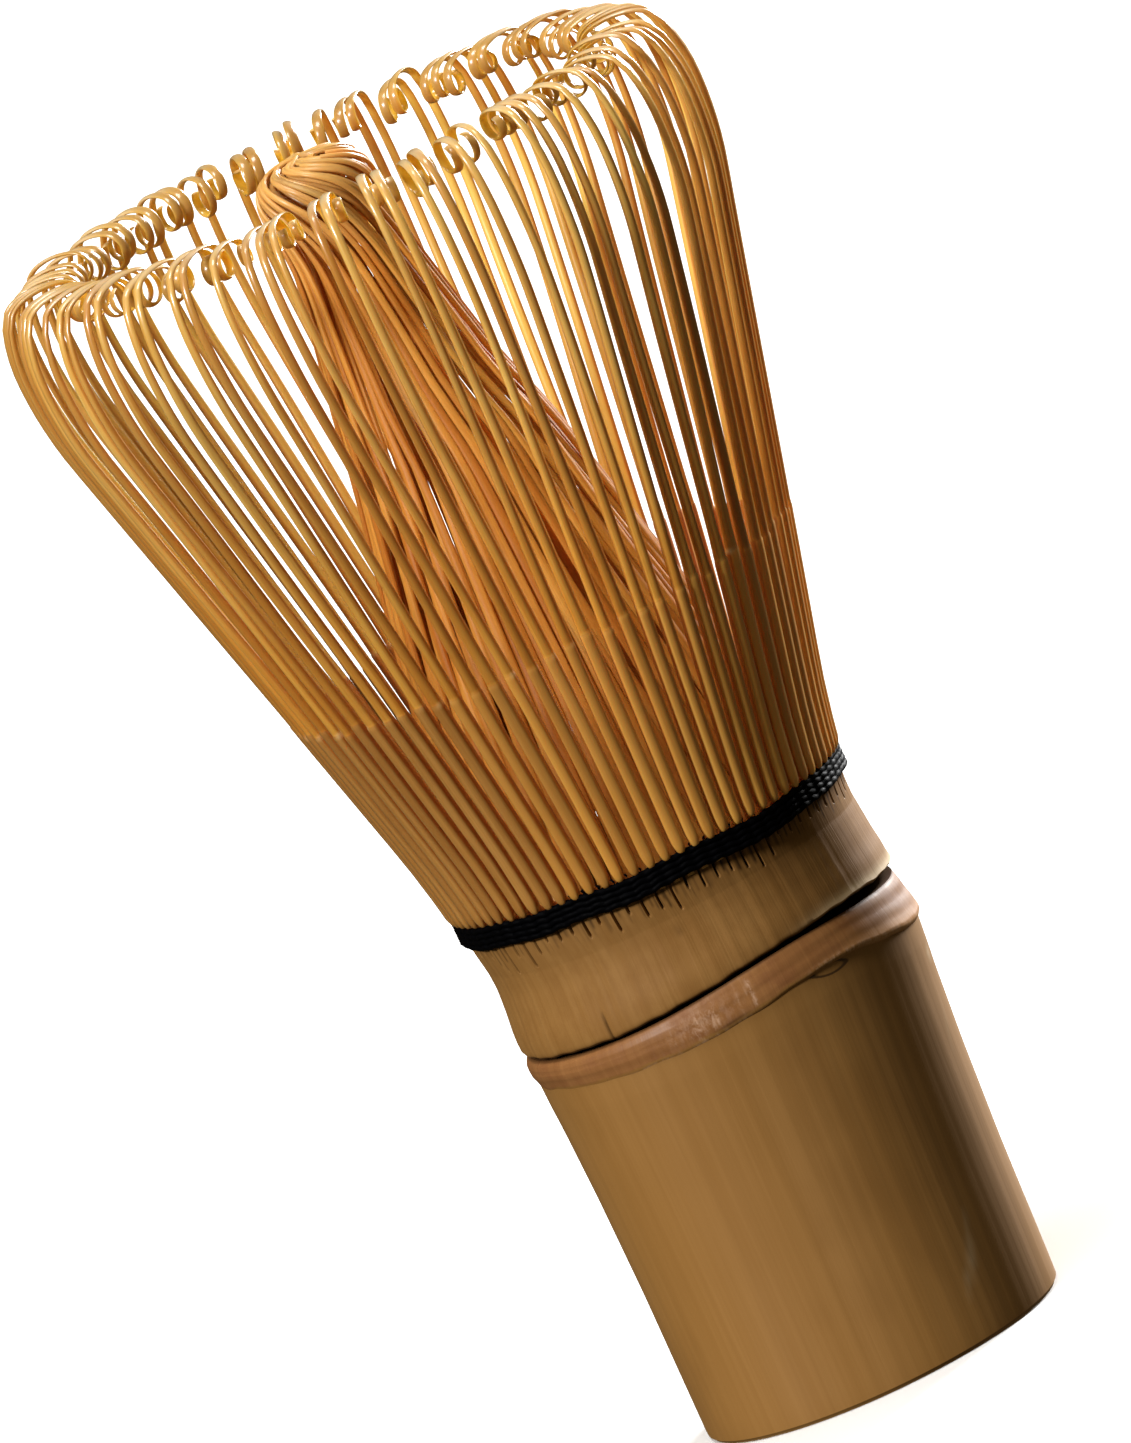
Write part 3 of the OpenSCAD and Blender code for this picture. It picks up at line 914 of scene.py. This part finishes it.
def tine_colours(length, section, skin_s, foot_azimuth, rng):
    """Skin, tone and pale ends of one outer tine, for each point along its length, with a painted
    highlight at its bend and painted fill light on its skin towards the right.
    """
    corner = np.clip(section[..., 0] * rng.choice([-1, 1]) - 0.2, 0, 0.8)
    cut_end = np.where(np.abs(length - (skin_s + 0.08)) < 0.12, 1.0, 0.0)
    fleck = cut_end[:, None] * corner * rng.uniform(-0.4, 1.1)
    fleck[-2:] = 0.8
    tone = rng.beta(1.2, 1.6)
    side = turned(foot_azimuth)
    # Painted fill light, strongest from the front round to the right and fading before the back.
    warm = 0.75 * ramp(side + rng.normal(0, 12), -45, 0) + 0.25 * ramp(side, 15, 50)
    warm = warm * rng.uniform(0.6, 1) * (1 - ramp(side, 115, 178))
    return {
        "tone": np.full(len(length), tone), "skin": (length <= skin_s + 0.01).astype(float),
        "high": ramp(length, 24, 54), "curl": ramp(length, 60, 72),
        # The bend's whitening carries a painted highlight.
        "bend": 0.3 * bump_at(length, 67.2, 3.2), "fleck": np.clip(fleck, 0, 1),
        "warm": np.full(len(length), warm),
    }


def outer_tine(shell, foot_azimuth, top_azimuth, habit, rng):
    """One outer tine, from its foot behind the thread to the end of its curl."""
    s, r, z = outer_line(habit, rng)
    skin_s = np.interp(SKIN_LINE + rng.uniform(-0.45, 0.45), z[:400], s[:400])
    picks, wide, thick, inset = tine_sizes(skin_s, s[-1], rng)
    foot_r, foot_z, foot_wide, foot_thick = TINE_FOOT.T
    wide = np.concatenate([foot_wide, wide])
    thick = np.concatenate([foot_thick, thick])
    inset = np.concatenate([0 * foot_r, inset])
    line_r = np.concatenate([foot_r, np.interp(picks, s, r)])
    line_z = np.concatenate([foot_z, np.interp(picks, s, z)])
    length = np.concatenate([foot_z - SHOULDER_Z, picks])
    turn = ramp(length, 10, 54)
    azimuth = foot_azimuth + (top_azimuth - foot_azimuth) * turn
    azimuth = azimuth + habit["sway"] * np.sin(np.clip(length / 30, 0, 2) * np.pi)
    lean = np.arctan2(np.gradient(line_r), np.gradient(line_z))
    lean[:len(TINE_FOOT) + 1] = math.radians(LEAN_OF_TINE[0][1])
    e_r = radial(azimuth)
    e_t = np.stack([-e_r[:, 1], e_r[:, 0], 0 * azimuth], -1)
    out = e_r * np.cos(lean)[:, None]
    out[:, 2] = -np.sin(lean)
    drift = (habit["drift"] + rng.uniform(-0.06, 0.06)) * ramp(length, 64, s[-1])
    place = e_r * line_r[:, None] + e_t * drift[:, None]
    place[:, 2] = line_z
    place = place - out * inset[:, None]
    lean_over = (habit["facing"] + math.radians(rng.normal(0, 4))) * ramp(length, 15, 60)
    out = out + e_t * np.sin(lean_over)[:, None]
    roundness = ramp(length, skin_s - 1, skin_s + 3)[:, None, None]
    section = OUTER_SECTION * (1 - roundness) + ROUND_SECTION * roundness
    colours = tine_colours(length, section, skin_s, foot_azimuth, rng)
    grain_from = rng.uniform(-90, 90, 3)
    sweep(shell, place, foot_out(out, place), section, wide, thick, grain_from, **colours)


def foot_out(out, place):
    """Keeps the section level where the tine swells over the thread."""
    level = out.copy()
    foot = slice(0, len(TINE_FOOT))
    level[foot] = unit(place[foot] * np.array([1, 1, 0]))
    return level


# Inner bundle: height, radius and twist in degrees of its outermost strands, then height and
# sideways shift of its middle
BUNDLE = [
    (46.4, 16.1, 0), (49, 15.3, 0), (55, 14.3, 0), (60, 13.45, 0), (66, 12.35, 0),
    (72, 11.15, 0), (78, 9.9, 0), (84, 8.6, 0), (90, 7.1, -1), (96, 5.9, -3),
    (101, 4.95, -7), (104, 4.6, -13), (106.3, 4.6, -22), (108.2, 4.9, -35), (109.6, 4.75, -50),
    (110.6, 4.1, -68), (111.1, 3.1, -88), (111.35, 2.0, -108), (111.4, 0.9, -124),
    (111.38, -0.4, -132), (111.2, -1.7, -138), (110.8, -2.9, -142),
]
BUNDLE_MIDDLE = [(50, 0), (72, -0.6), (84, -0.75), (90, -1.3), (103, -1.5), (111, -2.0)]
# How far inside each other the three layers of inner strands lie once they have gathered
LAYER_STEP = 0.62


def inner_tine(shell, foot_azimuth, layer, rng):
    """One strand of the inner bundle; a few run on over its top and the rest stop short."""
    heights, radii, twists = (np.array(column, float) for column in zip(*BUNDLE))
    steps = np.hypot(np.diff(heights), np.diff(radii))
    s = np.concatenate([[0], np.cumsum(steps)])
    over = layer == 0 and rng.random() < 0.3
    end = s[-1] - (rng.uniform(0, 1.6) if over else rng.uniform(3.6, 6.2))
    picks = np.concatenate([np.linspace(0, 48, 18), np.linspace(50, end, 44)])
    fine = np.arange(0, s[-1], 0.25)

    def along(column):
        padded = np.interp(np.concatenate([np.full(6, 0), fine, np.full(6, s[-1])]), s, column)
        eased = np.convolve(padded, np.ones(13) / 13, "valid")
        return np.interp(picks, fine, eased)

    r, z, twist = along(radii), along(heights), along(twists)
    r = np.where(picks < 1, np.interp(picks, s, radii), r)
    z = np.where(picks < 1, np.interp(picks, s, heights), z)
    gather = ramp(z, 58, 92)
    on_top = ramp(picks, s[-1] - 9, s[-1] - 5)
    r = r - layer * LAYER_STEP * gather * (1 - on_top)
    z = z - layer * 0.5 * ramp(z, 104, 110.5) + rng.uniform(-0.28, 0.1 if over else -0.05) * on_top
    r = r + rng.uniform(-0.24, 0.24) * gather
    wander = rng.normal(0, 1.7) * ramp(z, 50, 76) + rng.normal(0, 3.8) * ramp(z, 76, 100)
    azimuth = foot_azimuth + wander + twist * rng.uniform(0.85, 1.12)
    e_r = radial(azimuth)
    place = e_r * r[:, None]
    place[:, 2] = z
    place[:, 0] += np.interp(z, *zip(*BUNDLE_MIDDLE))
    lean = np.arctan2(np.gradient(r), np.gradient(z))
    out = e_r * np.cos(lean)[:, None]
    out[:, 2] = -np.sin(lean)
    wide = np.interp(picks, [0, 12, 32, 50, end], [1.14, 1.12, 0.84, 0.6, 0.47])
    wide = wide * rng.uniform(0.88, 1.12)
    thick = np.interp(picks, [0, 30, 56, end], [0.66, 0.56, 0.44, 0.36])
    sweep(
        shell, place, out, INNER_SECTION, wide, thick, rng.uniform(-90, 90, 3),
        tone=np.full(len(picks), rng.beta(1.4, 1.8)), curl=ramp(z, 101, 108),
    )


def tines(outer_material, inner_material):
    """Sixteen splints: each has five outer tines in one piece and five inner ones in another."""
    rng = np.random.default_rng(71)
    for n in range(1, SPLINTS + 1):
        middle = (n - 0.5) * 360 / SPLINTS
        tops, habits = gathered(rng)
        layers = (0, 2, 0, 1, 1) if n % 2 else (0, 1, 0, 2, 0)
        outer, inner = Shell(), Shell()
        for k in range(TINES_PER_SPLINT):
            foot = middle + (k - (TINES_PER_SPLINT - 1) / 2) * PITCH
            outer_tine(outer, foot + rng.uniform(-0.2, 0.2), middle + tops[k], habits[k], rng)
            layer = layers[(k + n) % TINES_PER_SPLINT]
            inner_tine(inner, foot + PITCH / 2 + rng.uniform(-0.3, 0.3), layer, rng)
        number = f"{n:02d}"
        made = outer.piece(
            "tines_outer_" + number, outer_material, "shaved_bamboo", ["outer_tines_" + number], 60
        )
        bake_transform(made)
        made = inner.piece(
            "tines_inner_" + number, inner_material, "dark_bamboo", ["inner_tines_" + number]
        )
        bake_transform(made)


# ---------------------------------------------------------------- stage, light and camera

def floor():
    """A wide pale floor that fills the view behind the whisk."""
    far, near, rings, drop = 6000, 0.5, 24, 0.02
    azimuth = np.arange(0, 360, 5.0)
    rows = [(far * (n / rings) ** 2 + near, -drop, 0) for n in range(rings + 1)]
    points = culm_grid(rows, azimuth)
    shell = Shell()
    shell.add(points, caps=True, grain=points)
    mesh = bpy.data.meshes.new("studio_floor")
    # The last face is the cap over the outermost ring, which would lie over all the others
    mesh.from_pydata((np.concatenate(shell.points) * MM).tolist(), [], shell.faces[:-1])
    look = Look("studio_floor")
    paper = look.noise((0.01, 0.01, 0.01), 2.0)
    colour = look.mix(paper, srgb(246, 245, 243), srgb(250, 250, 249))
    mesh.materials.append(look.finish(colour, look.between(paper, 0, 1, 0.85, 0.95)))
    made = bpy.data.objects.new("studio_floor", mesh)
    made.visible_diffuse = made.visible_glossy = False
    bpy.context.scene.collection.objects.link(made)


def sun(name, toward_azimuth, elevation, strength, angle, colour):
    """A soft parallel light that comes from the given azimuth and elevation."""
    data = bpy.data.lights.new(name, "SUN")
    data.energy, data.angle, data.color = strength, math.radians(angle), colour
    made = bpy.data.objects.new(name, data)
    e = math.radians(elevation)
    source = Vector(radial(toward_azimuth).tolist()) * math.cos(e) + Vector((0, 0, math.sin(e)))
    made.rotation_mode = "QUATERNION"
    made.rotation_quaternion = source.to_track_quat("Z", "Y")
    bpy.context.scene.collection.objects.link(made)


def lights():
    """A key light from the left, a soft one from above, a rim light from behind, a dim sky."""
    sun("key_light", FRONT - 46, 30, 2.75, 12, (1.0, 0.99, 0.99))
    sun("top_light", FRONT - 20, 80, 2.3, 28, (1.0, 0.99, 0.97))
    sun("rim_light", FRONT + 143, 16, 8.0, 20, (1.0, 1.0, 1.0))
    world = bpy.data.worlds.new("studio")
    world.use_nodes = True
    sky = world.node_tree.nodes["Background"].inputs
    sky["Color"].default_value = (1.0, 0.84, 0.5, 1)
    sky["Strength"].default_value = 0.067
    bpy.context.scene.world = world


# The photo's camera, in mm, and the angle by which it is rolled
CAMERA_AIM = Vector((-1.97, 0, 59.5))
CAMERA_PLACE = Vector((-1.97, -1481.1, 296.7))
CAMERA_ROLL = 25.3
LENS_LENGTH, SENSOR_WIDTH = 454.3, 36


def camera():
    """A long lens from a little above, rolled so that the whisk leans over in the picture."""
    aim = CAMERA_AIM * MM
    place = CAMERA_PLACE * MM
    roll = math.radians(CAMERA_ROLL)
    forward = (aim - place).normalized()
    right = Vector((1, 0, 0))
    up = right.cross(forward).normalized()
    tipped_up = up * math.cos(roll) + right * math.sin(roll)
    tipped_right = right * math.cos(roll) - up * math.sin(roll)
    data = bpy.data.cameras.new("camera")
    data.sensor_width, data.lens = SENSOR_WIDTH, LENS_LENGTH
    data.clip_start, data.clip_end = 0.1, 50
    made = bpy.data.objects.new("camera", data)
    axes = Matrix((tipped_right, tipped_up, -forward)).transposed()
    made.matrix_world = Matrix.Translation(place) @ axes.to_4x4()
    bpy.context.scene.collection.objects.link(made)
    bpy.context.scene.camera = made


camera()
lights()
floor()
bpy.context.scene.view_settings.view_transform = "Standard"
culm_handle(culm_skin())
culm_node(node_ridge())
culm_septum(culm_inside())
culm_neck(neck_skin())
thread_look = black_thread()
wound_thread(
    "thread_wound", thread_look, "thread_wraps", radius=THREAD_OUT - 0.28, low=THREAD_LOW,
    turns=4, rise=0.5, seed=3, sink=0.05,
)
wound_thread(
    "thread_woven", thread_look, "thread_weave", radius=15.6, low=46.7,
    turns=3, rise=0.46, seed=4, sink=0.04,
)
tines(shaved_bamboo(), dark_bamboo())
